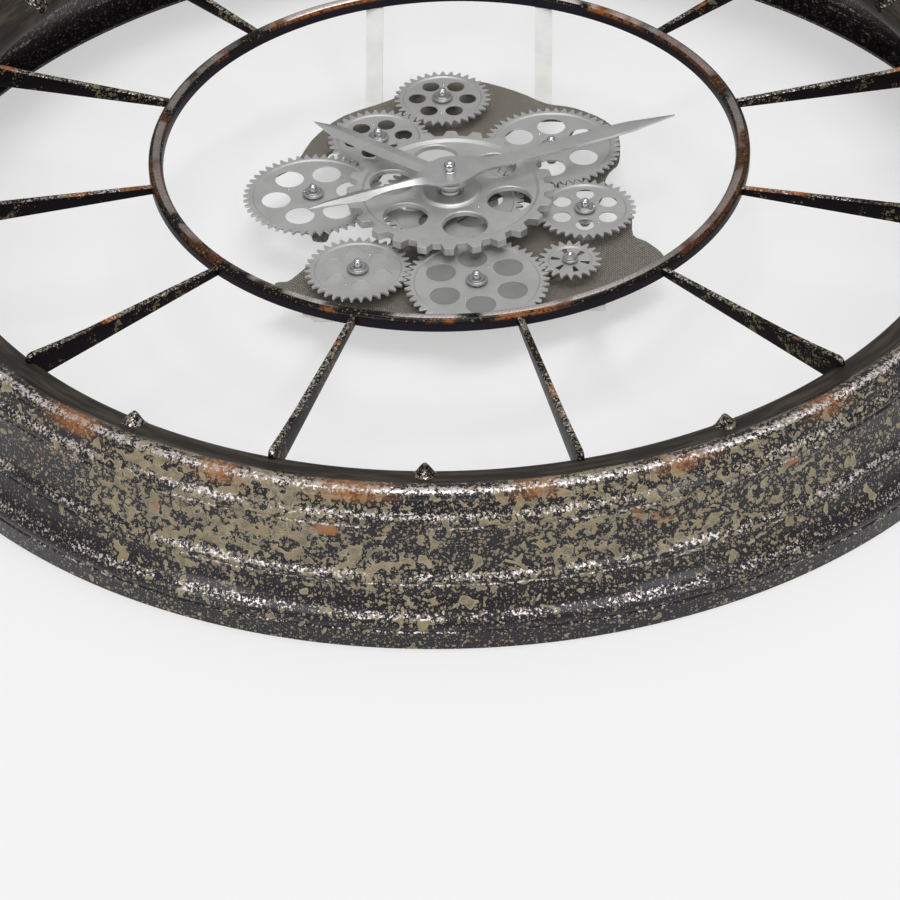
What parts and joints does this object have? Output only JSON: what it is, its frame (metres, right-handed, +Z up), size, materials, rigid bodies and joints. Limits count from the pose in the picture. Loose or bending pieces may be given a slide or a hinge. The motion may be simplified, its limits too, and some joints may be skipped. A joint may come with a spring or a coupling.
{
  "type": "wall clock",
  "caption": "Open round wall clock: deep stepped outer rim, spokes to an inner hoop, and a cluster of turning gears behind two hands.",
  "frame": {"origin": "on the wall plane behind the clock, on the axis of the hands", "axes": "+X to the right and +Z up as the clock hangs, seen from the front; +Y into the wall, so the dial faces -Y"},
  "size_m": [0.7992, 0.0956, 0.7992],
  "materials": {
    "rim_paint": "dark charcoal paint with olive spatter and copper brush marks, satin gloss",
    "dark_paint": "near-black brown paint with gold specks, glossy",
    "plate_texture": "dark grey-olive, fine woven texture, matt",
    "gear_metal": "satin silver",
    "chrome": "polished",
    "steel": "brushed",
    "white_plastic": "matt white",
    "black_plastic": "matt black",
    "cell_jacket": "plain cell jacket",
    "hand_metal": "brushed silver"
  },
  "bodies": {
    "frame": {"outer_rim": "rim_paint", "inner_hoop": "dark_paint", "spoke_01": "dark_paint", "spoke_02": "dark_paint", "spoke_03": "dark_paint", "spoke_04": "dark_paint", "spoke_05": "dark_paint", "spoke_06": "dark_paint", "spoke_07": "dark_paint", "spoke_08": "dark_paint", "spoke_09": "dark_paint", "spoke_10": "dark_paint", "spoke_11": "dark_paint", "spoke_12": "dark_paint", "hour_stud_01": "rim_paint", "hour_stud_02": "rim_paint", "hour_stud_03": "rim_paint", "hour_stud_04": "rim_paint", "hour_stud_05": "rim_paint", "hour_stud_06": "rim_paint", "hour_stud_07": "rim_paint", "hour_stud_08": "rim_paint", "hour_stud_09": "rim_paint", "hour_stud_10": "rim_paint", "hour_stud_11": "rim_paint", "hour_stud_12": "rim_paint", "hanger_strap": "steel", "gear_plate": "plate_texture", "plate_leg_lower_left": "plate_texture", "plate_leg_lower_right": "plate_texture", "plate_leg_upper_left": "plate_texture", "plate_leg_upper_right": "plate_texture", "drive_case": "white_plastic", "drive_cover": "black_plastic", "battery_cell": "cell_jacket", "gear_motor": "black_plastic", "left_gear_bolt": "chrome", "lower_gear_bolt": "chrome", "upper_right_gear_bolt": "chrome", "right_gear_bolt": "chrome", "lower_left_gear_bolt": "chrome", "pinion_gear_bolt": "chrome", "upper_left_gear_bolt": "chrome", "top_gear_bolt": "chrome"},
    "centre_drive": {"centre_gear": "gear_metal", "big_gear": "gear_metal", "drive_sleeve": "steel"},
    "minute_hand": {"minute_hand": "hand_metal", "hand_nut": "chrome", "hand_dome": "chrome", "setting_knob": "black_plastic"},
    "hour_hand": {"hour_hand": "hand_metal"},
    "left_gear": {"left_gear": "gear_metal"},
    "lower_gear": {"lower_gear": "gear_metal"},
    "upper_right_gear": {"upper_right_gear": "gear_metal"},
    "right_gear": {"right_gear": "gear_metal"},
    "lower_left_gear": {"lower_left_gear": "gear_metal"},
    "pinion_gear": {"pinion_gear": "gear_metal"},
    "upper_left_gear": {"upper_left_gear": "gear_metal"},
    "top_gear": {"top_gear": "gear_metal"}
  },
  "joints": [
    {"name": "centre_turn", "type": "hinge", "parent": "frame", "child": "centre_drive", "pos_m": [0, 0, 0], "axis": [0, 1, 0], "continuous": true},
    {"name": "minute_turn", "type": "hinge", "parent": "frame", "child": "minute_hand", "pos_m": [0, 0, 0], "axis": [0, 1, 0], "continuous": true},
    {"name": "hour_turn", "type": "hinge", "parent": "frame", "child": "hour_hand", "pos_m": [0, 0, 0], "axis": [0, 1, 0], "continuous": true},
    {"name": "left_turn", "type": "hinge", "parent": "frame", "child": "left_gear", "pos_m": [-0.09312, 0, 0.00717], "axis": [0, 1, 0], "continuous": true},
    {"name": "lower_turn", "type": "hinge", "parent": "frame", "child": "lower_gear", "pos_m": [0.02053, 0, -0.09112], "axis": [0, 1, 0], "continuous": true},
    {"name": "upper_right_turn", "type": "hinge", "parent": "frame", "child": "upper_right_gear", "pos_m": [0.06685, 0, 0.06523], "axis": [0, 1, 0], "continuous": true},
    {"name": "right_turn", "type": "hinge", "parent": "frame", "child": "right_gear", "pos_m": [0.09036, 0, -0.00935], "axis": [0, 1, 0], "continuous": true},
    {"name": "lower_left_turn", "type": "hinge", "parent": "frame", "child": "lower_left_gear", "pos_m": [-0.0576, 0, -0.07846], "axis": [0, 1, 0], "continuous": true},
    {"name": "pinion_turn", "type": "hinge", "parent": "frame", "child": "pinion_gear", "pos_m": [0.08092, 0, -0.06733], "axis": [0, 1, 0], "continuous": true},
    {"name": "upper_left_turn", "type": "hinge", "parent": "frame", "child": "upper_left_gear", "pos_m": [-0.05295, 0, 0.07536], "axis": [0, 1, 0], "continuous": true},
    {"name": "top_turn", "type": "hinge", "parent": "frame", "child": "top_gear", "pos_m": [-0.01063, 0, 0.12581], "axis": [0, 1, 0], "continuous": true}
  ],
  "couplings": [
    {"joint": "hour_turn", "follows": "minute_turn", "ratio": 0.083333},
    {"joint": "left_turn", "follows": "centre_turn", "ratio": -1.0417},
    {"joint": "lower_turn", "follows": "centre_turn", "ratio": -1.0417},
    {"joint": "upper_right_turn", "follows": "centre_turn", "ratio": -1.0417},
    {"joint": "right_turn", "follows": "centre_turn", "ratio": 1.4706},
    {"joint": "lower_left_turn", "follows": "centre_turn", "ratio": 1.4286},
    {"joint": "pinion_turn", "follows": "centre_turn", "ratio": 2.5},
    {"joint": "upper_left_turn", "follows": "centre_turn", "ratio": 1.4286},
    {"joint": "top_turn", "follows": "centre_turn", "ratio": -1.4706}
  ]
}
